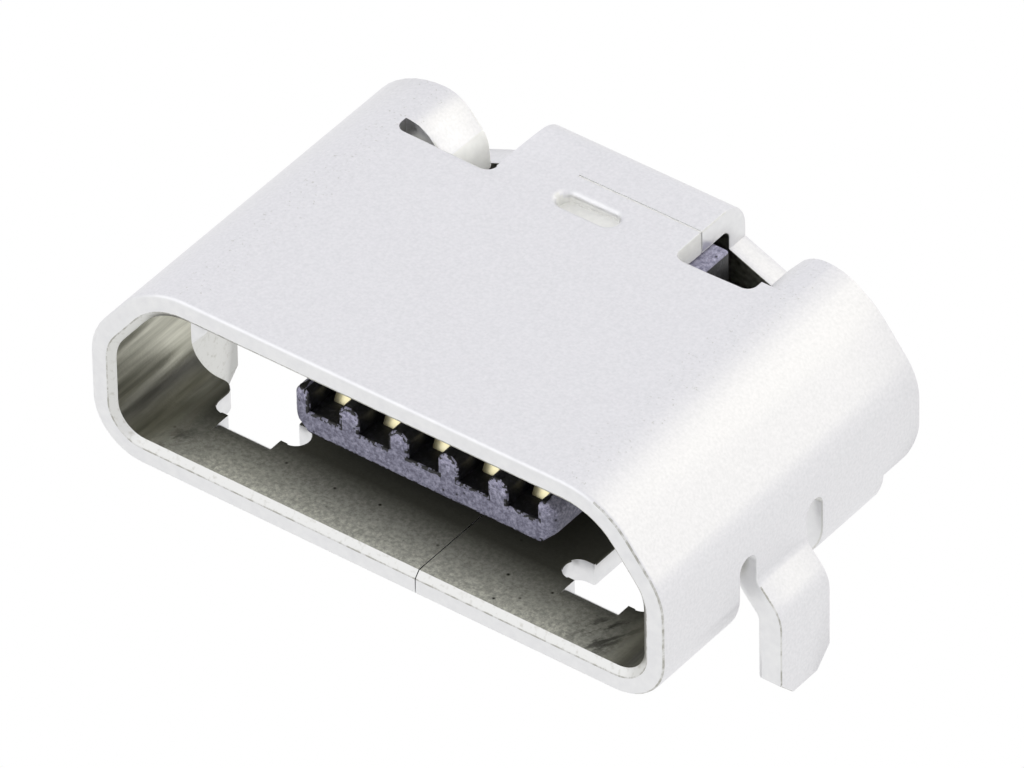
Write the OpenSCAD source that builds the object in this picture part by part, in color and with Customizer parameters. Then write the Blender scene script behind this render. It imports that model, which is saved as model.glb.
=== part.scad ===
// Board socket for a micro plug: a folded sheet shell, a moulded housing and five contacts.
// X runs across the mouth, Y runs back into the socket and Z is up from the board.
// The origin lies midway between the two legs, on the face of the board.

/* [Shell] */
// Width over the side walls
shell_w = 7.5; // [7.4:0.05:7.8]
// Height over the top and bottom walls
shell_h = 2.5; // [2.4:0.05:2.7]
// Depth of the side walls, back from the mouth
shell_d = 4.5; // [4.4:0.05:5]
// Thickness of the sheet that the whole shell is folded from
sheet = 0.3; // [0.26:0.01:0.3]
// Height at which the upright sides turn to the slopes
side_h = 1.5; // [1.4:0.05:1.55]
// Width of the top wall, between the corners that its edges would meet in
top_w = 5.95; // [5.8:0.05:6.1]
// Outer radius of the bends at the foot of the sides
low_r = 0.65; // [0.5:0.05:0.7]
// Outer radius of the bends between sides and slopes
mid_r = 0.8; // [0.6:0.05:0.9]
// Outer radius of the bends between slopes and top
top_r = 1.05; // [0.8:0.05:1.1]
// Width of the bevel that leads a plug into the mouth, across the sheet
lead_w = 0.08; // [0.05:0.01:0.12]
// Depth of that bevel
lead_d = 0.07; // [0.05:0.01:0.1]
// Radius of the outer edge of the mouth
edge_r = 0.05; // [0.02:0.01:0.06]
// Distance of the butt seam to the right of the centre of the bottom wall
seam_x = 0.52; // [0.3:0.02:0.8]
// Opening of the butt seam
seam_gap = 0.012; // [0.01:0.002:0.04]

/* [Legs] */
// Distance from the mouth to the middle of each leg
leg_y = 2.06; // [1.9:0.02:2.3]
// Width of a leg
leg_w = 0.88; // [0.8:0.02:1]
// How far a leg steps out from its side wall
leg_jog = 0.3; // [0.25:0.01:0.4]
// Lean of the step in a leg, in degrees
leg_lean = 40; // [35:1:45]
// Inner radius of the two bends in a leg
leg_r = 0.15; // [0.1:0.01:0.2]
// Height on the side wall where a leg starts to bend out
leg_root = 0.72; // [0.7:0.01:0.8]
// Reach of a leg below the board face
leg_reach = 0.83; // [0.6:0.01:1.2]
// Width of the rounded-down inner edges that blanking leaves on a leg
roll_w = 0.1; // [0.05:0.01:0.12]
// Depth of those inner edges
roll_d = 0.035; // [0.02:0.005:0.06]
// Bevels at the tip of a leg, along its width
leg_tip = 0.23; // [0.1:0.01:0.3]
// Width of the relief slot on each side of a leg
relief_w = 0.28; // [0.2:0.02:0.3]
// Height of the relief slots' round tops
relief_h = 1.1; // [1:0.01:1.15]
// Distance from the centre to the inner end of the cut-out that a leg leaves in the bottom wall
cutout_x = 1.95; // [1.9:0.05:2.1]
// Radius of the corner between that cut-out and the latch window
cutout_r = 0.16; // [0.08:0.02:0.18]

/* [Latch windows] */
// Distance from the centre to the middle of a window
latch_x = 2.28; // [2.2:0.02:2.3]
// Distance from the mouth to the window's rounded lip
latch_y = 0.59; // [0.5:0.01:0.7]
// Width of the lip
lip_w = 0.7; // [0.6:0.02:0.8]
// Width of the cross slot behind the lip
cross_w = 1.18; // [1:0.02:1.2]
// Depth of the cross slot, along Y
cross_d = 0.32; // [0.26:0.02:0.36]

/* [Rear] */
// Width of the neck that carries the rear cover
neck_w = 2.4; // [2.2:0.05:2.6]
// Outer radius of the bend in the rear cover
cover_r = 0.4; // [0.35:0.05:0.5]
// Width of the rear plate below its shoulders
plate_w = 4.8; // [4.4:0.1:5]
// Drop of the sloping shoulders of the rear plate
shoulder = 0.52; // [0.4:0.02:0.6]
// Height of the rear plate's lower edge above the board
plate_low = 0.4; // [0.35:0.05:0.6]
// Distance from the rear edge to the far side of the notches in the top wall
notch_in = 0.88; // [0.84:0.02:0.94]
// Radius of the notches' two far corners
notch_r = 0.12; // [0.06:0.01:0.13]
// Width of the opening in front of a tab
slit_w = 0.2; // [0.14:0.02:0.24]
// Length of the right-hand opening, which is shorter than the left one
slit_right = 1; // [0.9:0.02:1.1]
// Part of the right-hand top bend that the right tab takes with it, in degrees
tab_early = 9; // [4:1:12]
// First bend of a tab, in degrees
tab_bend = 50; // [40:1:55]
// Outer radius of the first bend of a tab
tab_r = 0.45; // [0.4:0.01:0.5]
// Flat stretch between the two bends of a tab
tab_flat = 0.25; // [0.15:0.01:0.3]
// Second bend of a tab, in degrees
tab_crease = 35; // [25:1:38]
// Inner radius of the second bend of a tab
crease_r = 0.05; // [0.03:0.01:0.08]
// Flat stretch at the free end of a tab
tab_end = 0.28; // [0.15:0.01:0.3]
// Distance that the bottom wall stops short of the rear edge
bottom_in = 0.63; // [0.5:0.01:0.8]
// Height of the lower edge of the side walls behind the bottom wall
rear_edge = 0.6; // [0.5:0.02:0.65]
// Radius at the lower rear corner of the side walls
rear_corner = 0.3; // [0.2:0.02:0.4]
// Distance from the rear edge to the middle of the pressed dimple in the top wall
dimple_in = 0.76; // [0.7:0.02:0.9]
// Length of the dimple's floor
dimple_l = 0.76; // [0.7:0.02:0.9]
// Width of the dimple's floor
dimple_w = 0.24; // [0.2:0.02:0.3]
// Depth of the middle of the dimple
dimple_deep = 0.13; // [0.12:0.01:0.15]
// Slope of the dimple's floor, in degrees
dimple_tilt = 4; // [1:1:5]
// Radius of the soft rim of the dimple
rim_r = 0.08; // [0.05:0.01:0.08]
// Distance from the rear edge to the scored line where the cover starts
score_in = 0.4; // [0.2:0.01:0.45]
// Length of the scored line, from the right edge of the neck
score_l = 1.6; // [1:0.1:2.2]
// Width of the scored line
score_w = 0.03; // [0.02:0.01:0.06]
// Depth of the scored line
score_deep = 0.01; // [0.01:0.005:0.02]

/* [Housing] */
// Width of the tongue
tongue_w = 3.44; // [3.4:0.02:3.56]
// Thickness of the tongue
tongue_t = 0.6; // [0.56:0.02:0.66]
// Height of the tongue's underside above the board
tongue_z = 0.635; // [0.6:0.005:0.66]
// Distance from the mouth to the tongue's front
tongue_y = 0.83; // [0.7:0.01:1]
// Bevels along the tongue's upper edges
tongue_up = 0.12; // [0.08:0.01:0.14]
// Bevels along the tongue's lower edges
tongue_low = 0.2; // [0.1:0.01:0.22]
// Bevels on the tongue's front corners
tongue_front = 0.07; // [0.04:0.01:0.1]
// Distance from the rear edge to the front of the base block
base_in = 1.15; // [1:0.05:1.3]
// Height of the shoulders of the base block, under the tabs
base_h = 1.56; // [1.4:0.02:1.56]
// Bevels along the upper edges of those shoulders, measured across
base_bevel = 0.26; // [0.2:0.02:0.3]
// Width of the raised middle of the base block
crown_w = 2.76; // [2.6:0.02:3]
// Distance from the rear edge to the back of the raised middle
crown_in = 0.14; // [0.1:0.02:0.3]
// Clearance between the housing and the shell
fit = 0.02; // [0.01:0.01:0.04]

/* [Contacts] */
// Distance between neighbouring contacts
pitch = 0.65; // [0.64:0.01:0.66]
// Width of a contact
contact_w = 0.21; // [0.2:0.01:0.3]
// Thickness of a contact
contact_t = 0.15; // [0.12:0.01:0.18]
// Width of the groove for a contact
groove_w = 0.38; // [0.34:0.01:0.4]
// Depth of the groove
groove_d = 0.3; // [0.24:0.01:0.36]
// Bevels along the groove's upper edges
groove_bevel = 0.08; // [0.04:0.01:0.1]
// Distance from the mouth to the contacts' tips
contact_y = 1.12; // [1:0.01:1.3]
// Backward lean of the contacts' tips, in degrees
tip_lean = 28; // [15:1:40]
// Distance from the rear edge to the back of the contacts' upright stretch
upright_in = 0.2; // [0.1:0.01:0.3]
// Inner radius of the contacts' bends
contact_r = 0.1; // [0.08:0.01:0.12]
// Reach of the soldering tails behind the rear edge
tail_out = 0.8; // [0.6:0.05:1.1]

/* [Hidden] */
$fn = 64;
over = 1;

// A square bend, in degrees
square_bend = 90;
// Steps in a rounded edge
quarter_steps = 3;

// Turns and flats of the tube, going round its outer face from the seam
lean_x = (shell_w - top_w) / 2;
lean_z = shell_h - side_h;
top_turn = atan2(lean_z, lean_x);
mid_turn = square_bend - top_turn;
mid_cut = mid_r * tan(mid_turn / 2);
top_cut = top_r * tan(top_turn / 2);
side_flat = side_h - low_r - mid_cut;
slope_flat = norm([lean_x, lean_z]) - mid_cut - top_cut;
top_flat = top_w - 2 * top_cut;
low_flat = shell_w / 2 - low_r;
half_turn = [[square_bend, low_r], [side_flat], [mid_turn, mid_r], [slope_flat], [top_turn, top_r]];
half_back = [for (k = [len(half_turn) - 1:-1:0]) half_turn[k]];
tube = concat(
    [[low_flat - seam_x - seam_gap / 2]], half_turn, [[top_flat]], half_back,
    [[low_flat + seam_x - seam_gap / 2]]);

// Sections that are carried along the folded paths, as distance into the sheet and along its width
function plain(thick, width) = [[0, 0], [thick, 0], [thick, width], [0, width]];
quarter_step = square_bend / quarter_steps;
function micron(v) = round(1000 * v) / 1000;
function quarter(centre, rx, ry, start) = [
    for (a = [start:quarter_step:start + square_bend])
        [micron(centre[0] + rx * cos(a)), micron(centre[1] + ry * sin(a))]];
mouth_section = concat(
    quarter([edge_r, edge_r], edge_r, edge_r, 180),
    [[sheet - lead_w, 0], [sheet, lead_d], [sheet, shell_d], [0, shell_d]]);
leg_section = concat(
    [[0, leg_w], [0, 0]], quarter([sheet - roll_w, roll_d], roll_w, roll_d, 270),
    quarter([sheet - roll_w, leg_w - roll_d], roll_w, roll_d, 0));

// Leg: a step outward between two equal bends
leg_shift = (2 * leg_r + sheet) * (1 - cos(leg_lean));
leg_flat = (leg_jog - leg_shift) / sin(leg_lean);
leg_drop = (2 * leg_r + sheet) * sin(leg_lean) + leg_flat * cos(leg_lean);
leg_path = [
    [-leg_lean, leg_r], [leg_flat], [leg_lean, leg_r + sheet], [leg_root + leg_reach - leg_drop]];
link_w = latch_x + cross_w / 2 - cutout_x;
leg_front = leg_y - leg_w / 2;
leg_back = leg_y + leg_w / 2;

// Places at the rear, worked out from the rear edge
notch_y = shell_d - notch_in;
dimple_y = shell_d - dimple_in;
score_y = shell_d - score_in;
base_y = shell_d - base_in;
upright_y = shell_d - upright_in;

// Rear cover, tabs and base
plate_y = shell_d + cover_r;
neck_low = shell_h - cover_r - sheet / 2;
tab_root = top_flat / 2;
tab_y = notch_y + slit_w;
notch_w = tab_root - neck_w / 2;
// The right tab starts this many degrees inside the top bend and a hair lower, to join it well
tab_lap = 3;
tab_drop = 0.005;
inner_x = shell_w / 2 - sheet;
groove_z = tongue_z + tongue_t - groove_d;

// Contact: along the groove, down through the base and back along the board
upright_run = upright_y - contact_t - contact_r - contact_y;
upright_drop = groove_z - 2 * contact_r - contact_t;
tail_run = upright_in + tail_out - contact_r;
contact_path = [
    [upright_run], [-square_bend, contact_r], [upright_drop],
    [square_bend, contact_r + contact_t], [tail_run]];

// A strip folded along a path, which runs on its right face.
// A step is [length] for a flat, or [angle, radius of the path] for a bend, positive to the left.
module fold(path, section, step = 0) {
    if (step < len(path)) {
        size = path[step][0];
        radius = path[step][1];
        if (len(path[step]) == 1) {
            rotate([90, 0, 90])
                linear_extrude(size)
                    polygon(section);
            translate([size, 0, 0])
                fold(path, section, step + 1);
        } else {
            left = size > 0;
            centre = left ? radius : -radius;
            translate([0, centre, 0]) {
                rotate([0, 0, left ? -90 : 90 + size])
                    rotate_extrude(angle = abs(size))
                        polygon([for (q = section) [radius + (left ? -q[0] : q[0]), q[1]]]);
                rotate([0, 0, size])
                    translate([0, -centre, 0])
                        fold(path, section, step + 1);
            }
        }
    }
}

module both_sides() {
    children();
    mirror([1, 0, 0])
        children();
}

// A slot with round ends, standing on Z, with its length along X, that flares towards its top
module oblong(length, width, height, flare = 0) {
    straight = length - width;
    translate([-straight / 2, 0, 0])
        rotate([90, 0, 90])
            linear_extrude(straight)
                polygon([
                    [-width / 2, 0], [width / 2, 0],
                    [width / 2 + flare, height], [-width / 2 - flare, height]]);
    for (x = [-1, 1])
        translate([x * straight / 2, 0, 0])
            cylinder(d1 = width, d2 = width + 2 * flare, h = height);
}

// What rounding takes off a corner whose two sides run along +X and +Y
module corner_waste(r) {
    difference() {
        translate([-r, -r])
            square(2 * r);
        translate([r, r])
            circle(r = r);
    }
}

// Folded tube, still whole all round, with its mouth at y = 0
module tube_wall() {
    translate([seam_x + seam_gap / 2, shell_d, 0])
        rotate([90, 0, 0])
            mirror([0, 0, 1])
                translate([0, 0, -shell_d])
                    fold(tube, mouth_section);
}

// What a right-hand leg and its latch window take out of the tube
module leg_cut() {
    translate([cutout_x, leg_front - relief_w, -over])
        cube([shell_w, leg_w + 2 * relief_w, leg_root + over]);
    for (y = [leg_front - relief_w / 2, leg_back + relief_w / 2]) {
        translate([inner_x - over, y - relief_w / 2, -over])
            cube([shell_w, relief_w, relief_h - relief_w / 2 + over]);
        translate([inner_x - over, y, relief_h - relief_w / 2])
            rotate([0, 90, 0])
                cylinder(d = relief_w, h = shell_w);
    }
    translate([latch_x, latch_y + sheet + cross_d / 2, -over])
        oblong(cross_w, cross_d, sheet + 2 * over);
    translate([cutout_x, latch_y + sheet + cross_d / 2, -over])
        cube([link_w, leg_front - relief_w / 2 - latch_y - sheet - cross_d / 2, sheet + 2 * over]);
    translate([cutout_x + link_w, leg_front - relief_w, -over])
        linear_extrude(sheet + 2 * over)
            mirror([0, 1])
                corner_waste(cutout_r);
    translate([latch_x - lip_w / 2, latch_y, 0])
        rotate([90, 0, 90])
            linear_extrude(lip_w)
                difference() {
                    square([sheet + cross_d / 2, 2 * sheet]);
                    circle(r = sheet);
                }
}

// What the rear of the tube loses on its right: a notch beside a tab, the bottom wall's end and a corner
module rear_cut(slit, early) {
    translate([neck_w / 2, notch_y, shell_h - top_r])
        linear_extrude(2 * top_r)
            difference() {
                square([slit, slit_w]);
                corner_waste(notch_r);
                translate([slit, 0])
                    mirror([1, 0])
                        corner_waste(notch_r);
            }
    translate([neck_w / 2, tab_y, shell_h - top_r])
        cube([notch_w, shell_d, 2 * top_r]);
    translate([tab_root, tab_y, shell_h - top_r])
        rotate([0, early, 0])
            translate([-notch_w / 2, 0, 0])
                cube([notch_w / 2, shell_d, 2 * top_r]);
    translate([-over, shell_d - bottom_in, -over])
        cube([shell_w, shell_d, rear_edge + over]);
    translate([inner_x - over, shell_d, rear_edge])
        rotate([90, 0, 90])
            linear_extrude(shell_w)
                mirror([1, 0])
                    corner_waste(rear_corner);
}

module leg() {
    intersection() {
        translate([-shell_w / 2, leg_back, leg_root])
            rotate([90, 90, 0])
                fold(leg_path, leg_section);
        translate([-shell_w, leg_y, 0])
            rotate([90, 0, 90])
                linear_extrude(shell_w)
                    polygon([
                        [-leg_w / 2, leg_root], [-leg_w / 2, leg_tip - leg_reach],
                        [leg_tip - leg_w / 2, -leg_reach], [leg_w / 2 - leg_tip, -leg_reach],
                        [leg_w / 2, leg_tip - leg_reach], [leg_w / 2, leg_root]]);
    }
}

// A left-hand tab, which carries on from the top bend
module tab(early) {
    lap = early > 0 ? [[tab_lap, top_r]] : [];
    bends = [[tab_bend + early, tab_r], [tab_flat], [tab_crease, sheet + crease_r], [tab_end]];
    translate([-tab_root, tab_y, shell_h - top_r - len(lap) * tab_drop])
        rotate([0, -early - len(lap) * tab_lap, 0])
            translate([0, 0, top_r])
                rotate([-90, 0, 0])
                    fold(concat(lap, bends), plain(sheet, shell_d - tab_y));
}

module rear_cover() {
    translate([neck_w / 2, shell_d, shell_h])
        rotate([-90, 0, 90])
            fold([[square_bend, cover_r]], plain(sheet, neck_w));
    translate([0, plate_y, 0])
        rotate([90, 0, 0])
            linear_extrude(sheet)
                polygon([
                    [-neck_w / 2, shell_h - cover_r], [-neck_w / 2, neck_low],
                    [-plate_w / 2, neck_low - shoulder], [-plate_w / 2, plate_low],
                    [plate_w / 2, plate_low], [plate_w / 2, neck_low - shoulder],
                    [neck_w / 2, neck_low], [neck_w / 2, shell_h - cover_r]]);
}

// The dimple, with a sloping floor, upright walls and a rim that is rounded in steps
module dimple() {
    rim = quarter([rim_r, 0], rim_r, rim_r, 90);
    intersection() {
        translate([0, dimple_y, shell_h - sheet])
            oblong(dimple_l, dimple_w, sheet - rim_r);
        translate([0, dimple_y, shell_h - dimple_deep])
            rotate([0, -dimple_tilt, 0])
                translate([-over, -over, 0])
                    cube(2 * over);
    }
    for (k = [1:quarter_steps]) {
        out = rim[k][0];
        rise = rim[k - 1][1] - rim[k][1];
        translate([0, dimple_y, shell_h - rim_r + rim[k][1]])
            oblong(dimple_l + 2 * out, dimple_w + 2 * out, rise, rim[k - 1][0] - out);
    }
}

module score() {
    translate([neck_w / 2 - score_l, score_y, shell_h - score_deep])
        cube([score_l + over, score_w, over]);
    translate([neck_w / 2 - score_deep, score_y, shell_h - sheet])
        cube([over, score_w, sheet + over]);
}

module shell_blank() {
    difference() {
        tube_wall();
        both_sides()
            leg_cut();
        rear_cut(slit_right, tab_early);
        mirror([1, 0, 0])
            rear_cut(notch_w, 0);
        dimple();
        score();
    }
    both_sides()
        leg();
    tab(0);
    mirror([1, 0, 0])
        tab(tab_early);
    rear_cover();
}

module tongue() {
    difference() {
        translate([0, base_y, tongue_z])
            rotate([90, 0, 0])
                linear_extrude(base_y - tongue_y)
                    polygon([
                        [tongue_low - tongue_w / 2, 0], [tongue_w / 2 - tongue_low, 0],
                        [tongue_w / 2, tongue_low], [tongue_w / 2, tongue_t - tongue_up],
                        [tongue_w / 2 - tongue_up, tongue_t], [tongue_up - tongue_w / 2, tongue_t],
                        [-tongue_w / 2, tongue_t - tongue_up], [-tongue_w / 2, tongue_low]]);
        both_sides()
            translate([tongue_w / 2 - tongue_front, tongue_y, tongue_z - over])
                rotate([0, 0, -45])
                    cube([2 * over, over, tongue_t + 2 * over]);
    }
}

module base_block() {
    foot = low_r - sheet;
    half = inner_x - fit;
    translate([0, plate_y - sheet - fit, sheet])
        rotate([90, 0, 0])
            linear_extrude(plate_y - sheet - fit - base_y)
                polygon([
                    [foot - half, 0], [half - foot, 0], [half, foot], [half, side_h - mid_cut - sheet],
                    [half - base_bevel, base_h - sheet], [base_bevel - half, base_h - sheet],
                    [-half, side_h - mid_cut - sheet], [-half, foot]]);
    translate([-crown_w / 2, base_y, sheet])
        cube([crown_w, base_in - crown_in, shell_h - 2 * sheet - fit]);
}

module contact_strip(k) {
    difference() {
        translate([(k - 3) * pitch - contact_w / 2, contact_y, groove_z])
            rotate([90, 0, 90])
                fold(contact_path, plain(contact_t, contact_w));
        translate([(k - 3) * pitch - contact_w, contact_y, groove_z])
            rotate([-tip_lean, 0, 0])
                translate([0, -over, -over])
                    cube([2 * contact_w, over, 2 * over]);
    }
}

module groove(k) {
    half = groove_w / 2;
    translate([(k - 3) * pitch, base_y, groove_z])
        rotate([90, 0, 0])
            linear_extrude(base_y - tongue_y + over)
                polygon([
                    [-half, 0], [half, 0], [half, groove_d - groove_bevel],
                    [half + groove_bevel, groove_d], [half + groove_bevel, groove_d + over],
                    [-half - groove_bevel, groove_d + over], [-half - groove_bevel, groove_d],
                    [-half, groove_d - groove_bevel]]);
}

module housing_blank() {
    difference() {
        union() {
            tongue();
            base_block();
        }
        for (k = [1:5]) {
            groove(k);
            contact_strip(k);
        }
    }
}

// Everything above is measured from the mouth, so each node is moved to the origin between the legs
module placed() {
    translate([0, -leg_y, 0])
        children();
}

module shell() {
    color("#dcdde0")
        placed()
            shell_blank();
}

module housing() {
    color("#3b3a48")
        placed()
            housing_blank();
}

module contact(k) {
    color("#e3bf5c")
        placed()
            contact_strip(k);
}

shell();
housing();
contact(1);  // contact_1
contact(2);  // contact_2
contact(3);  // contact_3
contact(4);  // contact_4
contact(5);  // contact_5
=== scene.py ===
# %% [markdown]
# This lesson dresses a board socket for a micro plug. The real one is a strip of plated sheet that is folded
# into a flat tube, with a dark moulding and five gold contacts inside. It is only 8 mm wide, so the camera
# sits as close as a magnifier would, and what the eye reads is edges, plating and wear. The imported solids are
# the frame: every shape starts from them, so nothing has to be fitted by hand.

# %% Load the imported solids
import math

import bmesh
import bpy
from mathutils import Matrix, Vector, noise


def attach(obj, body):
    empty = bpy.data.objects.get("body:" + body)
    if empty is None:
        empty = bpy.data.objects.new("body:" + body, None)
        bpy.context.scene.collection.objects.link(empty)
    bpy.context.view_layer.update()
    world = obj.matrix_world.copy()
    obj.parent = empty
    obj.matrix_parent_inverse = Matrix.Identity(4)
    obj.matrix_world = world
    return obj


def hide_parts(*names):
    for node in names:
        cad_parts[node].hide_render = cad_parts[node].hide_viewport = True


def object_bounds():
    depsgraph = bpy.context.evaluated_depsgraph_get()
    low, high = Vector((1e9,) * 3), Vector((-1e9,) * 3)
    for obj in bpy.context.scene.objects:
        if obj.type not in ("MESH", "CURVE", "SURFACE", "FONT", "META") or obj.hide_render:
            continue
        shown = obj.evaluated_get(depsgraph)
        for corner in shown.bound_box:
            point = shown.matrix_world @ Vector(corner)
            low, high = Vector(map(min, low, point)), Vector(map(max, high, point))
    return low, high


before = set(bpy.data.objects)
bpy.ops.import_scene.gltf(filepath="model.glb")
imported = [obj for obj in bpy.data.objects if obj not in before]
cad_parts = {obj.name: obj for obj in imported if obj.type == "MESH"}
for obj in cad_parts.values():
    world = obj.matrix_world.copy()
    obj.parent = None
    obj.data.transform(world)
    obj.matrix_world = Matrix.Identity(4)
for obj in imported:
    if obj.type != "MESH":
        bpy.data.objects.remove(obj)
cad_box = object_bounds()
MM = 0.001
print("nodes:", sorted(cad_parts))
print("box in mm:", [[round(v / MM, 2) for v in corner] for corner in cad_box])

# %% [markdown]
# The camera comes first, because every later choice is judged through it. The picture was taken with a long
# lens from the right of the mouth, looking down by about 40 degrees. A long lens flattens the perspective, so
# parallel folds stay almost parallel. The camera could be set with an empty to track, but a matrix built from
# its three directions also takes the small roll of the picture.

# %% Camera
VIEW_AZIMUTH = 37.704
VIEW_ELEVATION = 39.535
VIEW_ROLL = -1.033
VIEW_DISTANCE_MM = 169.59
AIM_MM = (0.0224, 0.2924, 1.0419)
PIXELS_PER_MM = 95.403
PICTURE_WIDTH_PX = 1024
SENSOR_MM = 36.0
CLIP_START_MM = 10.0


def camera_axes(azimuth, elevation, roll):
    """Right, up and backward directions of a camera or a lamp, from its angles in degrees."""
    a, e, t = (math.radians(v) for v in (azimuth, elevation, roll))
    level = Vector((math.cos(a), math.sin(a), 0))
    ahead = Vector((-math.sin(a) * math.cos(e), math.cos(a) * math.cos(e), -math.sin(e)))
    above = level.cross(ahead)
    right = level * math.cos(t) + above * math.sin(t)
    return right, right.cross(ahead), -ahead


def placed(axes, place):
    """World matrix of an object with these three axes at this place."""
    matrix = Matrix(axes).transposed().to_4x4()
    matrix.translation = place
    return matrix


camera_data = bpy.data.cameras.new("close_up")
camera_data.sensor_width = SENSOR_MM
camera_data.lens = SENSOR_MM * PIXELS_PER_MM * VIEW_DISTANCE_MM / PICTURE_WIDTH_PX
camera_data.clip_start = CLIP_START_MM * MM
camera = bpy.data.objects.new("close_up", camera_data)
axes = camera_axes(VIEW_AZIMUTH, VIEW_ELEVATION, VIEW_ROLL)
camera.matrix_world = placed(axes, (Vector(AIM_MM) + axes[2] * VIEW_DISTANCE_MM) * MM)
bpy.context.scene.collection.objects.link(camera)
bpy.context.scene.camera = camera
print(f"lens {camera_data.lens:.0f} mm at {VIEW_DISTANCE_MM:.0f} mm")

# %% [markdown]
# Materials need a few helpers. Colours are written as sRGB hex, the way a colour picker shows them, while
# shaders count in linear light, so one function converts. Node trees are built by one small function that
# adds a node, sets it and links it, because a tree written that way reads from top to bottom like a recipe.


# %% Colour and node helpers
def linear(hex_colour):
    """An sRGB hex colour as linear red, green, blue and alpha."""
    parts = [int(hex_colour[i:i + 2], 16) / 255 for i in (1, 3, 5)]
    return tuple(p / 12.92 if p <= 0.04045 else ((p + 0.055) / 1.055) ** 2.4 for p in parts) + (1.0,)


def put(tree, kind, inputs=None, **settings):
    """Adds one node: settings are its own properties, inputs are values or sockets to link from."""
    made = tree.nodes.new("ShaderNode" + kind)
    for name, value in settings.items():
        setattr(made, name, value)
    for name, value in (inputs or {}).items():
        if isinstance(value, bpy.types.NodeSocket):
            tree.links.new(value, made.inputs[name])
        else:
            made.inputs[name].default_value = value
    return made


def blank_material(name):
    """A material with an empty tree, and that tree."""
    material = bpy.data.materials.new(name)
    material.use_nodes = True
    material.node_tree.nodes.clear()
    return material, material.node_tree


def per_mm(size):
    """Texture scale at which one feature is this many millimetres across."""
    return 1 / (size * MM)


print("plating in linear light:", [round(v, 3) for v in linear("#e2e2e6")])

# %% [markdown]
# A catalogue picture of a small part is taken on a lit white table, so that even the holes through the part
# show white. A floor that only reflects would be dark under the part, so the table itself glows. Soft light
# comes from all round. Two large softboxes add to it: a warm one at the right and behind, which whitens the
# sloping side, and one in front on the left, which draws a line of light along the lower edge of the mouth.
# A snoot, which is a lamp with a narrow beam, reaches into the left notch at the rear, where the softboxes
# can't.

# %% Floor and sky
FLOOR_SIZE_MM = 3000.0
TABLE_GLOW = 1.0
SKY_STRENGTH = 1.02

scene = bpy.context.scene
scene.view_settings.view_transform = "Standard"
table_material, tree = blank_material("opal_acrylic_lit_from_below")
# An even white, with no shadow under the part
glow = put(tree, "Emission", {"Color": linear("#ffffff"), "Strength": TABLE_GLOW})
put(tree, "OutputMaterial", {"Surface": glow.outputs[0]})

table_mesh = bmesh.new()
bmesh.ops.create_grid(table_mesh, size=FLOOR_SIZE_MM * MM / 2)
floor_data = bpy.data.meshes.new("light_table")
table_mesh.to_mesh(floor_data)
table_mesh.free()
floor = bpy.data.objects.new("light_table", floor_data)
floor.location.z = cad_box[0].z
floor_data.materials.append(table_material)
scene.collection.objects.link(floor)

sky = bpy.data.worlds.new("white_tent")
sky.use_nodes = True
sky.node_tree.nodes.clear()
cloth = put(sky.node_tree, "Background", {"Color": linear("#fcfcff"), "Strength": SKY_STRENGTH})
put(sky.node_tree, "OutputWorld", {"Surface": cloth.outputs[0]})
scene.world = sky
print(f"table {FLOOR_SIZE_MM:.0f} mm wide, at z {floor.location.z / MM:.2f} mm")


# %% Softboxes
def softbox(name, azimuth, elevation, distance_mm, size_mm, radiance, colour):
    """A square area light that faces the middle of the part and has this brightness as seen from it."""
    data = bpy.data.lights.new(name, "AREA")
    data.size = size_mm * MM
    data.color = linear(colour)[:3]
    data.energy = radiance * math.pi * data.size ** 2
    axes = camera_axes(azimuth, elevation, 0)
    light = bpy.data.objects.new(name, data)
    light.matrix_world = placed(axes, (Vector(AIM_MM) + axes[2] * distance_mm) * MM)
    scene.collection.objects.link(light)
    print(f"{name}: {size_mm} mm wide, {data.energy:.3f} W")


softbox(
    "softbox_right_rear", azimuth=140, elevation=37, distance_mm=150, size_mm=160, radiance=0.38,
    colour="#fffbdc")
softbox(
    "softbox_front_left", azimuth=-33, elevation=26, distance_mm=150, size_mm=150, radiance=0.32,
    colour="#ffffff")

# %% Snoot for the left notch
SNOOT_AZIMUTH = 110
SNOOT_ELEVATION = 50
SNOOT_DISTANCE_MM = 60
SNOOT_AIM_MM = (-1.86, 2.1, 1.8)
SNOOT_BEAM = math.radians(1)
SNOOT_RADIUS_MM = 0.3
SNOOT_WATTS = 0.08

snoot_data = bpy.data.lights.new("snoot_left_notch", "SPOT")
snoot_data.energy = SNOOT_WATTS
snoot_data.spot_size = SNOOT_BEAM
snoot_data.spot_blend = 1.0
snoot_data.shadow_soft_size = SNOOT_RADIUS_MM * MM
snoot = bpy.data.objects.new("snoot_left_notch", snoot_data)
axes = camera_axes(SNOOT_AZIMUTH, SNOOT_ELEVATION, 0)
snoot.matrix_world = placed(axes, (Vector(SNOOT_AIM_MM) + axes[2] * SNOOT_DISTANCE_MM) * MM)
scene.collection.objects.link(snoot)

# %% [markdown]
# Stamped sheet and moulded plastic have no knife edges: the punch and the mould leave every corner a little
# round, and that round catches a line of light. A bevel modifier would do it, but this part is so small that
# its tolerances get in the way, so the rounding is done on a copy that is scaled up to millimetres. Coplanar
# triangles are merged first, because a bevel needs clean flat faces on both sides of an edge.

# %% Rounded copies of the solids
FLAT = math.radians(0.5)
WELD_MM = 2e-4
NEAR_MM = 1e-5


def cut_across(shape, y):
    """Cuts every face of a shape that crosses this Y."""
    everything = shape.verts[:] + shape.edges[:] + shape.faces[:]
    bmesh.ops.bisect_plane(shape, geom=everything, dist=NEAR_MM, plane_co=(0, y, 0), plane_no=(0, 1, 0))


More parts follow.
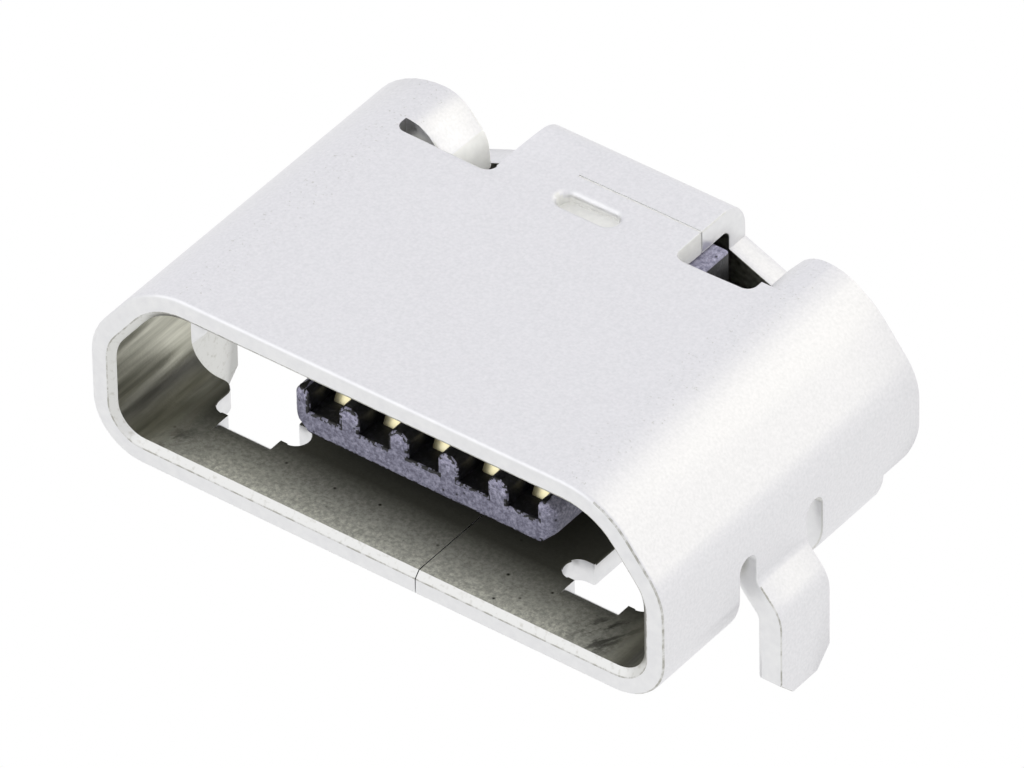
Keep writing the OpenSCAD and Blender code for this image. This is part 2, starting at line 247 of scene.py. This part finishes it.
def rounded_copy(node, radius_mm, sharp_from=25, keep=None, cut_at_mm=()):
    """A bmesh in millimetres of one solid, cut across at each Y that is asked for.

    Its sharp edges are rounded, or only the convex ones that keep allows.
    """
    shape = bmesh.new()
    shape.from_mesh(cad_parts[node].data)
    bmesh.ops.scale(shape, vec=(1 / MM,) * 3, verts=shape.verts)
    bmesh.ops.remove_doubles(shape, verts=shape.verts, dist=WELD_MM)
    bmesh.ops.dissolve_degenerate(shape, dist=WELD_MM, edges=shape.edges)
    bmesh.ops.dissolve_limit(shape, angle_limit=FLAT, verts=shape.verts, edges=shape.edges)
    for y in cut_at_mm:
        cut_across(shape, y)
    sharp = []
    for edge in shape.edges:
        turn = edge.calc_face_angle_signed() if keep else edge.calc_face_angle()
        if turn > math.radians(sharp_from) and (not keep or keep(edge)):
            sharp.append(edge)
    bmesh.ops.bevel(shape, geom=sharp, offset=radius_mm, segments=2, profile=0.5, affect="EDGES")
    print(f"{node}: {len(sharp)} edges rounded to {radius_mm} mm, {len(shape.faces)} faces")
    return shape


print(f"faces within {math.degrees(FLAT):.1f} degrees of each other are merged")

# %% From a rounded copy to a piece
CREASE = math.radians(38)


def piece_from(shape, name, node, materials):
    """Turns a bmesh in millimetres into a smooth piece that stands for a node."""
    for edge in shape.edges:
        edge.smooth = edge.calc_face_angle(0) < CREASE
    bmesh.ops.scale(shape, vec=(MM,) * 3, verts=shape.verts)
    data = bpy.data.meshes.new(name)
    shape.to_mesh(data)
    shape.free()
    data.polygons.foreach_set("use_smooth", [True] * len(data.polygons))
    for material in materials:
        data.materials.append(material)
    piece = bpy.data.objects.new(name, data)
    scene.collection.objects.link(piece)
    normals = piece.modifiers.new("flat_faces_rule", "WEIGHTED_NORMAL")
    normals.keep_sharp = True
    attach(piece, "root")
    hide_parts(node)


print(f"edges under {math.degrees(CREASE):.0f} degrees are shaded smooth")

# %% [markdown]
# The shell is thin steel with a satin plating. Close up, plating is never clean: small specks sit in it, and
# plugs tear it where they enter. One function draws the specks in the plating and the pits in the plastic. It
# takes the cells of a Voronoi pattern, keeps a share of them, and marks the middle of each one that it keeps.
# Another draws scuffs. It stretches noise, turns it the way a plug scrapes and fades it out around a place.

# %% Specks and scuffs
SCUFFS_MM = [(2.8, -1.65, 0.4), (-2.9, -1.85, 0.45)]
SCUFF_REACH_MM = (0.6, 0.4)
SCUFF_SIZE_MM = (0.14, 0.5, 0.14)
SCUFF_TURN = math.radians(-27)


def specks(tree, place, spacing_mm, share):
    """How much of a small speck there is at a place, from 0 to 1, with a share of the cells that hold one."""
    cells = put(tree, "TexVoronoi", {"Vector": place, "Scale": per_mm(spacing_mm)})
    lots = put(tree, "SeparateColor", {"Color": cells.outputs["Color"]})
    drawn = put(tree, "Math", {0: lots.outputs[0], 1: 1 - share}, operation="GREATER_THAN")
    core = put(tree, "MapRange", {
        "Value": cells.outputs["Distance"], "From Min": 0.08, "From Max": 0.24, "To Min": 1.0, "To Max": 0.0})
    return put(tree, "Math", {0: drawn.outputs[0], 1: core.outputs[0]}, operation="MULTIPLY").outputs[0]


def scuffs(tree, place, centre_mm, reach_mm):
    """The torn patch that plugs have left in a lower corner of the mouth, from 0 to 1."""
    far = put(tree, "VectorMath", {0: place, 1: [v * MM for v in centre_mm]}, operation="DISTANCE")
    near = put(tree, "MapRange", {
        "Value": far.outputs["Value"], "From Min": reach_mm / 3 * MM, "From Max": reach_mm * MM,
        "To Min": 1.0, "To Max": 0.0})
    size = [v * MM for v in SCUFF_SIZE_MM]
    drawn = put(tree, "Mapping", {
        "Vector": place, "Rotation": (0, 0, SCUFF_TURN), "Scale": size}, vector_type="TEXTURE")
    torn = put(tree, "TexNoise", {"Vector": drawn.outputs[0], "Scale": 1.0, "Detail": 5.0, "Roughness": 0.65})
    marks = put(tree, "MapRange", {
        "Value": torn.outputs["Fac"], "From Min": 0.51, "From Max": 0.6, "To Max": 0.75})
    return put(tree, "Math", {0: near.outputs[0], 1: marks.outputs[0]}, operation="MULTIPLY").outputs[0]


print("scuffed patches at", SCUFFS_MM, "mm")

# %% [markdown]
# Outside, the plating is pale and even. Its grain is finer than a pixel, so it is drawn a little coarser
# here. Where the top wall bends down to the sides the skin has crazed, and a second noise soils it there.
# Such a band could be painted, but a rule on the distance from the middle needs no picture.

# %% Plating on the outside
BEND_X_MM = 2.5
BEND_REACH_MM = 0.22

plate_outer, tree = blank_material("satin_plated_steel_outside")
place = put(tree, "TexCoord").outputs["Object"]
grain = put(tree, "TexNoise", {"Vector": place, "Scale": per_mm(0.035), "Detail": 2.0})
tone = put(tree, "Mix", {
    0: grain.outputs["Fac"], 6: linear("#d8d8da"), 7: linear("#edecee")}, data_type="RGBA")
spot = put(tree, "SeparateXYZ", {"Vector": place})
across = put(tree, "Math", {0: spot.outputs["X"]}, operation="ABSOLUTE")
bent = put(tree, "Math", {
    0: across.outputs[0], 1: BEND_X_MM * MM, 2: BEND_REACH_MM * MM}, operation="COMPARE")
crack = put(tree, "TexNoise", {"Vector": place, "Scale": per_mm(0.05), "Detail": 4.0, "Roughness": 0.7})
crazed = put(tree, "MapRange", {
    "Value": crack.outputs["Fac"], "From Min": 0.6, "From Max": 0.7, "To Max": 0.5})
soiled = put(tree, "Math", {0: crazed.outputs[0], 1: bent.outputs[0]}, operation="MULTIPLY")
tone = put(tree, "Mix", {0: soiled.outputs[0], 6: tone.outputs[2], 7: linear("#a5a496")}, data_type="RGBA")
relief = put(tree, "Bump", {"Height": grain.outputs["Fac"], "Distance": 0.002 * MM, "Strength": 0.4})
# Satin: the sky blurs into one soft tone
plated = put(tree, "BsdfPrincipled", {
    "Base Color": tone.outputs[2], "Metallic": 1.0, "Roughness": 0.43, "Normal": relief.outputs[0]})
put(tree, "OutputMaterial", {"Surface": plated.outputs[0]})
print(plate_outer.name, len(tree.nodes), "nodes")

# %% [markdown]
# Inside, plugs and folding tools have rubbed the walls along their length, and noise that is stretched along
# the tube draws such streaks. The streaks are darker low on the walls and lighter higher up. The bottom is
# matt and grainy and holds the specks and scuffs. Its tone is painted light and shade: pale just inside the
# mouth, where light comes in, and dark olive deeper in and towards the sides. The dark olive between the
# streaks on the walls is painted shade too. One material does both, and the height and the distance from
# the middle blend them, because two materials would meet in a hard line somewhere in the bend.

# %% Rubbed and scuffed plating on the inside, with painted shade and light
plate_inner, tree = blank_material("rubbed_plated_steel_inside_painted_shade_and_light")
place = put(tree, "TexCoord").outputs["Object"]
spot = put(tree, "SeparateXYZ", {"Vector": place})
along = put(tree, "Mapping", {"Vector": place, "Scale": (per_mm(0.09), per_mm(1.2), per_mm(0.09))})
streak = put(tree, "TexNoise", {"Vector": along.outputs[0], "Scale": 1.0, "Detail": 4.0})
rub = put(tree, "MapRange", {"Value": streak.outputs["Fac"], "From Min": 0.2, "From Max": 0.8})
# The streaks are darker low on the walls and lighter higher up
lighter_up_walls = put(tree, "MapRange", {
    "Value": spot.outputs["Z"], "From Min": 0.7 * MM, "From Max": 1.7 * MM, "To Min": 0.75})
streaky = put(tree, "Math", {0: rub.outputs[0], 1: lighter_up_walls.outputs[0]}, operation="MULTIPLY")
# The dark olive between the streaks is painted shade inside the tube
walls = put(tree, "Mix", {
    0: streaky.outputs[0], 6: linear("#8d8c7d"), 7: linear("#f6f5e6")}, data_type="RGBA")

mottle = put(tree, "TexNoise", {"Vector": place, "Scale": per_mm(0.04), "Detail": 3.0, "Roughness": 0.65})
grit = put(tree, "MapRange", {
    "Value": mottle.outputs["Fac"], "From Min": 0.35, "From Max": 0.65, "To Min": 0.6})
# Painted light: paler just inside the mouth, where light comes in
painted_mouth_light = put(tree, "MapRange", {
    "Value": spot.outputs["Y"], "From Min": -2.0 * MM, "From Max": -1.15 * MM, "To Min": 1.0, "To Max": 0.05})
aside = put(tree, "Math", {0: spot.outputs["X"]}, operation="ABSOLUTE")
# Painted shade: darker towards the bends at the sides
painted_side_shade = put(tree, "MapRange", {
    "Value": aside.outputs[0], "From Min": 2.2 * MM, "From Max": 3.2 * MM, "To Min": 1.0, "To Max": 0.4})
painted_light_and_shade = put(tree, "Math", {0: painted_mouth_light.outputs[0], 1: painted_side_shade.outputs[0]}, operation="MULTIPLY")
grit_and_painted_light = put(tree, "Math", {0: grit.outputs[0], 1: painted_light_and_shade.outputs[0]}, operation="MULTIPLY")
# The dark olive of the bottom deeper in is painted shade
bottom = put(tree, "Mix", {
    0: grit_and_painted_light.outputs[0], 6: linear("#57574d"), 7: linear("#f8f8ee")}, data_type="RGBA")
marked = specks(tree, place, spacing_mm=0.11, share=0.08)
for centre_mm, reach_mm in zip(SCUFFS_MM, SCUFF_REACH_MM):
    patch = scuffs(tree, place, centre_mm, reach_mm)
    marked = put(tree, "Math", {0: marked, 1: patch}, operation="MAXIMUM").outputs[0]
bottom = put(tree, "Mix", {0: marked, 6: bottom.outputs[2], 7: linear("#37362d")}, data_type="RGBA")

rise = put(tree, "MapRange", {"Value": spot.outputs["Z"], "From Min": 0.34 * MM, "From Max": 0.62 * MM})
turn = put(tree, "MapRange", {"Value": aside.outputs[0], "From Min": 2.8 * MM, "From Max": 3.2 * MM})
rise = put(tree, "Math", {0: rise.outputs[0], 1: turn.outputs[0]}, operation="MAXIMUM")
tone = put(tree, "Mix", {0: rise.outputs[0], 6: bottom.outputs[2], 7: walls.outputs[2]}, data_type="RGBA")
# Matt at the bottom, where it gathers light from the whole mouth, and smoother up the walls
gloss = put(tree, "MapRange", {"Value": rise.outputs[0], "To Min": 0.8, "To Max": 0.42})
relief = put(tree, "Bump", {"Height": mottle.outputs["Fac"], "Distance": 0.005 * MM, "Strength": 0.6})
rubbed = put(tree, "BsdfPrincipled", {
    "Base Color": tone.outputs[2], "Metallic": 1.0, "Roughness": gloss.outputs[0],
    "Normal": relief.outputs[0]})
put(tree, "OutputMaterial", {"Surface": rubbed.outputs[0]})
print(plate_inner.name, len(tree.nodes), "nodes")

# %% [markdown]
# Blanking shears the sheet, so its edges are smoother than its faces. The bevel that leads a plug in is worn
# by every insertion, and its border stays as a thin ragged line. The same broken line runs where the die left
# a burr. The bevel, the walls of the slots and the inner sides of the legs get a darker plating, which is
# painted shade. The scored line, the floor of the dimple and the ends of the rear tabs were pressed by the
# tool, which leaves them matt, and the sides of the neck look the same. Their plating is paler than outside,
# which is painted light.

# %% Cut edge of the sheet
cut_edge, tree = blank_material("plated_cut_edge")
place = put(tree, "TexCoord").outputs["Object"]
shear = put(tree, "TexNoise", {"Vector": place, "Scale": per_mm(0.1), "Detail": 2.0})
tone = put(tree, "Mix", {
    0: shear.outputs["Fac"], 6: linear("#dcdcde"), 7: linear("#ebebeb")}, data_type="RGBA")
relief = put(tree, "Bump", {"Height": shear.outputs["Fac"], "Distance": 0.003 * MM, "Strength": 0.5})
# Smoother than the faces, so it has a slightly clearer sheen
edged = put(tree, "BsdfPrincipled", {
    "Base Color": tone.outputs[2], "Metallic": 1.0, "Roughness": 0.36, "Normal": relief.outputs[0]})
put(tree, "OutputMaterial", {"Surface": edged.outputs[0]})
print(cut_edge.name, len(tree.nodes), "nodes")

# %% Worn lead-in, and darker plating that is painted shade
worn_and_painted_shade, tree = blank_material("plating_worn_with_painted_shade")
place = put(tree, "TexCoord").outputs["Object"]
scrape = put(tree, "TexNoise", {"Vector": place, "Scale": per_mm(0.06), "Detail": 3.0})
wear = put(tree, "MapRange", {"Value": scrape.outputs["Fac"], "From Min": 0.25, "From Max": 0.45})
# Darker than the outside plating: painted shade on the lead-in, on the walls of the slots and inside the legs
tone = put(tree, "Mix", {0: wear.outputs[0], 6: linear("#c1c0ba"), 7: linear("#d5d5d2")}, data_type="RGBA")
# Polished by the plug: it mirrors the front softbox more than the rim does
polished = put(tree, "BsdfPrincipled", {"Base Color": tone.outputs[2], "Metallic": 1.0, "Roughness": 0.3})
put(tree, "OutputMaterial", {"Surface": polished.outputs[0]})
print(worn_and_painted_shade.name, len(tree.nodes), "nodes")

# %% Ragged line along the edges that the die left sharp
burr, tree = blank_material("dull_blanking_burr")
place = put(tree, "TexCoord").outputs["Object"]
ragged = put(tree, "TexNoise", {"Vector": place, "Scale": per_mm(0.12), "Detail": 4.0, "Roughness": 0.7})
broken = put(tree, "MapRange", {"Value": ragged.outputs["Fac"], "From Min": 0.42, "From Max": 0.58})
tone = put(tree, "Mix", {0: broken.outputs[0], 6: linear("#adaca5"), 7: linear("#d8d8d6")}, data_type="RGBA")
# Dull: it shows as a broken grey line
dulled = put(tree, "BsdfPrincipled", {"Base Color": tone.outputs[2], "Metallic": 1.0, "Roughness": 0.5})
put(tree, "OutputMaterial", {"Surface": dulled.outputs[0]})
print(burr.name, len(tree.nodes), "nodes")

# %% Pressed places, with painted light
pressed_painted_light, tree = blank_material("matt_pressed_plating_painted_light")
place = put(tree, "TexCoord").outputs["Object"]
dent = put(tree, "TexNoise", {"Vector": place, "Scale": per_mm(0.08), "Detail": 2.0})
tone = put(tree, "Mix", {
    0: dent.outputs["Fac"], 6: linear("#ececea"), 7: linear("#f8f8f6")}, data_type="RGBA")
# Matt: it gathers light from a wide angle, so it stays pale even where it faces a dark wall. Its tone is
# paler than the outside plating, which is painted light
matt = put(tree, "BsdfPrincipled", {"Base Color": tone.outputs[2], "Metallic": 1.0, "Roughness": 0.9})
put(tree, "OutputMaterial", {"Surface": matt.outputs[0]})
print(pressed_painted_light.name, len(tree.nodes), "nodes")

# %% [markdown]
# Now the shell can be dressed. Which finish a face has follows from where it is and which way it looks, seen
# from the middle of the tube. Painting it by hand would be lost at the next change of the solid, a rule is
# not. The same kind of rule says which edges a bevel has to leave alone.

# %% Edges of the shell that stay sharp
MOUTH_Y_MM = cad_box[0].y / MM
MOUTH_DEEP_MM = 0.1
SCORE_Y_MM = (1.95, 2.15)
# Boxes of x, y and z whose edges are round already in the solid, or too close to others to be rounded:
# the mouth, the seam, the scored line, the dimple, the rear tabs and the lips of the latch windows
LEFT_SHARP_MM = [
    ((-9, 9), (-9, MOUTH_Y_MM + MOUTH_DEEP_MM), (-9, 9)),
    ((0.5, 0.54), (-9, 9), (-0.1, 0.35)),
    ((-1.3, 1.3), SCORE_Y_MM, (2.1, 2.6)),
    ((-0.6, 0.6), (1.4, 2.0), (2.2, 2.6)),
    ((-2.95, -2.25), (1.5, 1.95), (2.0, 2.6)),
    ((1.85, 2.95), (1.5, 2.5), (1.5, 2.6)),
    ((-2.7, -1.85), (-1.55, -1.1), (0.1, 0.4)),
    ((1.85, 2.7), (-1.55, -1.1), (0.1, 0.4)),
]


def within(value, ends):
    """True where a value lies between two ends."""
    return ends[0] < value < ends[1]


def rounds_well(edge):
    """True where an edge of the shell can be rounded."""
    middle = (edge.verts[0].co + edge.verts[1].co) / 2
    return not any(all(map(within, middle, box)) for box in LEFT_SHARP_MM)


print(f"mouth at y {MOUTH_Y_MM:.2f} mm, boxes of edges left sharp: {len(LEFT_SHARP_MM)}")

# %% Which finish each face of the shell has
CORE_X_MM = 2.6
CORE_Z_MM = 1.2
NECK_X_MM = 1.3
NECK_Z_MM = (2.1, 2.49)
LEG_X_MM = 3.4
LEG_Y_MM = 0.46
LEG_TOP_MM = 0.7
BURR_TOP_MM = 0.62
SLOT_Y_MM = 0.6
SLOT_TOP_MM = 1.2
SCORE_Z_MM = (2.4, 2.4995)
DIMPLE_X_MM = 0.6
DIMPLE_Y_MM = (1.4, 1.95)
DIMPLE_Z_MM = (2.3, 2.425)
DIMPLE_RIM_MM = 2.25
NOTCH_Y_MM = 1.55
TAB_Y_MM = 1.76
TAB_Z_MM = (1.0, 2.499)
PLATE_Y_MM = 2.5
# How much of a normal has to point some way for the face to count as looking that way
TURNED = 0.3
FACED = 0.35
HALFWAY = 0.5
STEEP = 0.6
UPRIGHT = 0.7
BURR_LOOK = (-0.9, -0.3)
OUTSIDE, INSIDE, EDGE, WORN_AND_PAINTED_SHADE, BURR, PRESSED_PAINTED_LIGHT = range(6)


def finish_of(face):
    """Which finish a face of the shell has, from its place and from the way it looks."""
    x, y, z = face.calc_center_median()
    n = face.normal
    side = 1 if x > 0 else -1
    outward = Vector((x - max(-CORE_X_MM, min(CORE_X_MM, x)), 0, z - CORE_Z_MM)).normalized()
    facing = n.dot(outward)
    at_mouth = y < MOUTH_Y_MM + MOUTH_DEEP_MM
    on_leg = z < LEG_TOP_MM and abs(x) > LEG_X_MM and abs(y) < LEG_Y_MM
    on_neck = abs(x) < NECK_X_MM
    burred = (at_mouth and x > CORE_X_MM) or (on_leg and x > 0 and z < BURR_TOP_MM)
    if burred and n.x > TURNED and within(n.y, BURR_LOOK):
        return BURR
    if at_mouth and n.y < -HALFWAY and facing < -TURNED:
        return WORN_AND_PAINTED_SHADE
    if on_neck and within(y, SCORE_Y_MM) and within(z, SCORE_Z_MM):
        return PRESSED_PAINTED_LIGHT
    if abs(x) < DIMPLE_X_MM and within(y, DIMPLE_Y_MM) and within(z, DIMPLE_Z_MM):
        return PRESSED_PAINTED_LIGHT
    if y > PLATE_Y_MM:
        return OUTSIDE if n.y > TURNED or n.z > HALFWAY else INSIDE if n.y < -HALFWAY else EDGE
    if abs(n.y) > HALFWAY:
        in_slot = abs(x) > LEG_X_MM and SLOT_Y_MM < y < PLATE_Y_MM and z < SLOT_TOP_MM
        return WORN_AND_PAINTED_SHADE if in_slot else EDGE
    if y > TAB_Y_MM and NECK_X_MM < abs(x) < CORE_X_MM and within(z, TAB_Z_MM):
        if n.x * side > -TURNED:
            return OUTSIDE if n.z > TURNED else INSIDE
        return OUTSIDE if n.z > STEEP else PRESSED_PAINTED_LIGHT
    if on_leg:
        return OUTSIDE if n.x * side > TURNED else WORN_AND_PAINTED_SHADE if n.x * side < -TURNED else EDGE
    if on_neck and y > NOTCH_Y_MM and abs(n.x) > UPRIGHT and within(z, NECK_Z_MM):
        return PRESSED_PAINTED_LIGHT
    if facing > FACED or (z > DIMPLE_RIM_MM and abs(x) < DIMPLE_X_MM):
        return OUTSIDE
    return EDGE if facing > -FACED else INSIDE


print(f"core of the tube: {CORE_X_MM} mm to each side, at z {CORE_Z_MM} mm")

# %% Shell
EDGE_ROUND_MM = 0.025
SHELL_SHARP = 60
TOP_CUTS_MM = (1.45, 1.3)
LINE_MM = 0.009
LINE_DEEP_MM = 0.01

shell_shape = rounded_copy("shell", EDGE_ROUND_MM, SHELL_SHARP, rounds_well, cut_at_mm=TOP_CUTS_MM)
for face in shell_shape.faces:
    face.material_index = finish_of(face)
border = [
    e for e in shell_shape.edges if max(v.co.y for v in e.verts) < MOUTH_Y_MM + LINE_DEEP_MM
    and {f.material_index for f in e.link_faces} == {EDGE, WORN_AND_PAINTED_SHADE}]
bmesh.ops.bevel(shell_shape, geom=border, offset=LINE_MM, segments=1, affect="EDGES", material=BURR)
print("edges along the lead-in:", len(border))
piece_from(
    shell_shape, "plated_shell", "shell",
    [plate_outer, plate_inner, cut_edge, worn_and_painted_shade, burr, pressed_painted_light])

# %% [markdown]
# The moulding is plastic filled with glass fibre. The fibres come to the surface as pale specks in a dark
# ground. Spark-eroded faces of the mould leave it dusty and violet. The torn top in the right notch, which
# looks like a broken gate, is palest, and the rest keeps the smooth dark skin of the mould. That skin is drawn
# near black, which is also painted shade in the grooves and on the faces turned away from the front.


# %% Glass-filled plastic
def glass_filled(name, ground, fleck_colour, fleck_from, pitted, roughness):
    """Plastic with pale fibre ends, more of them the lower fleck_from is, and a share of pitted spots."""
    material, tree = blank_material(name)
    place = put(tree, "TexCoord").outputs["Object"]
    fibre = put(tree, "TexNoise", {"Vector": place, "Scale": per_mm(0.04), "Detail": 4.0, "Roughness": 0.7})
    fleck = put(tree, "MapRange", {"Value": fibre.outputs["Fac"], "From Min": fleck_from, "From Max": 0.75})
    tone = put(tree, "Mix", {
        0: fleck.outputs[0], 6: linear(ground), 7: linear(fleck_colour)}, data_type="RGBA")
    pits = specks(tree, place, spacing_mm=0.09, share=pitted)
    # Pits show as dark spots: painted shade in them
    tone = put(tree, "Mix", {0: pits, 6: tone.outputs[2], 7: linear("#1c1b22")}, data_type="RGBA")
    relief = put(tree, "Bump", {"Height": fibre.outputs["Fac"], "Distance": 0.008 * MM, "Strength": 0.5})
    dull = put(tree, "BsdfPrincipled", {
        "Base Color": tone.outputs[2], "Roughness": roughness, "IOR": 1.5, "Normal": relief.outputs[0]})
    put(tree, "OutputMaterial", {"Surface": dull.outputs[0]})
    print(material.name, len(tree.nodes), "nodes")
    return material


# Dusty violet, a near-black mould skin that is also painted shade, and the pale torn plastic on top
eroded = glass_filled(
    "glass_filled_plastic_spark_eroded_face", "#636274", "#aaa9bd",
    fleck_from=0.4, pitted=0.15, roughness=0.6)
skin_and_painted_shade = glass_filled(
    "glass_filled_plastic_skin_and_painted_shade", "#0f0f12", "#33323b",
    fleck_from=0.5, pitted=0.0, roughness=0.4)
torn = glass_filled(
    "glass_filled_plastic_broken_gate", "#737187", "#cac8de",
    fleck_from=0.38, pitted=0.2, roughness=0.65)
ERODED, SKIN_AND_PAINTED_SHADE, TORN = range(3)

# %% [markdown]
# The mould opens along the front of the tongue and tears it a little, so its ribs and edges come out ragged.
# A bump can't break an outline. So the front is cut into a fine grid, and noise pushes each corner of the
# grid in. Nothing is pushed out, because the piece may not grow past the solid.

# %% Ragged front of the tongue
GRID_MM = 0.02
RAGGED_MM = 0.05
LUMP_MM = 0.045
SLAB_MM = 0.12
RIB_TOP_MM = 1.1
RIB_SWAY_MM = 0.15
TONGUE_SIDE_MM = 1.56
EDGE_GAIN = 4
FLAT_SHARE = 0.2
EATEN_FROM = 0.05


def cut_slab(shape, front, axis, low, high, step):
    """Cuts the faces of the front slab at even steps along one axis."""
    normal = Vector([float(i == axis) for i in range(3)])
    for k in range(1, int((high - low) / step)):
        faces = [f for f in shape.faces if max(v.co.y for v in f.verts) < front + SLAB_MM + WELD_MM]
        edges = dict.fromkeys(e for f in faces for e in f.edges)
        verts = dict.fromkeys(v for f in faces for v in f.verts)
        bmesh.ops.bisect_plane(
            shape, geom=[*faces, *edges, *verts], dist=NEAR_MM,
            plane_co=normal * (low + k * step), plane_no=normal)


def roughen_front(shape):
    """Pushes the front of the tongue in by noise, most of all along its edges."""
    front = min(v.co.y for v in shape.verts)
    cut_across(shape, front + SLAB_MM)
    slab = [v.co for v in shape.verts if v.co.y < front + SLAB_MM]
    for axis in (0, 2, 1):
        ends = [co[axis] for co in slab]
        cut_slab(shape, front, axis, min(ends), max(ends), GRID_MM)
    shape.normal_update()
    corner, moves = {}, {}
    for vert in shape.verts:
        fade = 1 - (vert.co.y - front) / SLAB_MM
        if fade > 0:
            bend = 1 - min(vert.normal.dot(f.normal) for f in vert.link_faces)
            corner[vert] = min(1, EDGE_GAIN * bend)
            lump = 0.5 + 0.5 * noise.noise(vert.co / LUMP_MM)
            share = FLAT_SHARE + (1 - FLAT_SHARE) * corner[vert]
            moves[vert] = vert.normal * (RAGGED_MM * fade * lump * share)
    for face in shape.faces:
        if face.normal.y < -TURNED and all(v in corner for v in face.verts):
            middle = face.calc_center_median()
            grit = noise.noise(middle / LUMP_MM)
            eaten = max(corner[v] for v in face.verts) > EATEN_FROM and grit < 0
            # Eaten faces get the near-black skin: painted shade in the torn hollows
            if eaten and abs(middle.x) < TONGUE_SIDE_MM:
                face.material_index = SKIN_AND_PAINTED_SHADE
            elif middle.z + RIB_SWAY_MM * grit > RIB_TOP_MM:
                face.material_index = TORN
    for vert, move in moves.items():
        vert.co -= move
    print(f"front of the tongue: {len(moves)} corners pushed in")


print(f"grid of {GRID_MM} mm, pushed in by {RAGGED_MM} mm at most")

# %% Housing
HOUSING_ROUND_MM = 0.03
CROWN_Z_MM = 2.1
SIDEWAYS = 0.4

housing_shape = rounded_copy("housing", HOUSING_ROUND_MM, keep=lambda edge: True)
for face in housing_shape.faces:
    middle = face.calc_center_median()
    n = face.normal
    on_side = abs(middle.x) > TONGUE_SIDE_MM and (abs(n.x) > SIDEWAYS or n.z > HALFWAY)
    # Faces that look neither to the front nor out to the sides get the near-black skin: painted shade
    moulded = ERODED if n.y < -TURNED or on_side else SKIN_AND_PAINTED_SHADE
    face.material_index = TORN if middle.z > CROWN_Z_MM else moulded
roughen_front(housing_shape)
piece_from(housing_shape, "moulded_housing", "housing", [eroded, skin_and_painted_shade, torn])

# %% [markdown]
# The contacts are springy copper alloy with a thin flash of gold. Gold is a metal, so its colour sits in the
# reflection. The flash is thin and a little rough, which keeps it pale.

# %% Gold plating
gold, tree = blank_material("gold_flashed_contact")
place = put(tree, "TexCoord").outputs["Object"]
rolled = put(tree, "TexNoise", {"Vector": place, "Scale": per_mm(0.06), "Detail": 2.0})
tone = put(tree, "Mix", {
    0: rolled.outputs["Fac"], 6: linear("#fdf0b4"), 7: linear("#fffada")}, data_type="RGBA")
# A soft warm glint from the mouth, over the whole tip
gilt = put(tree, "BsdfPrincipled", {"Base Color": tone.outputs[2], "Metallic": 1.0, "Roughness": 0.38})
put(tree, "OutputMaterial", {"Surface": gilt.outputs[0]})
print(gold.name, len(tree.nodes), "nodes")

# %% Contacts
CONTACT_ROUND_MM = 0.02

for number in range(1, 6):
    node = f"contact_{number}"
    piece_from(rounded_copy(node, CONTACT_ROUND_MM), f"gilt_{node}", node, [gold])
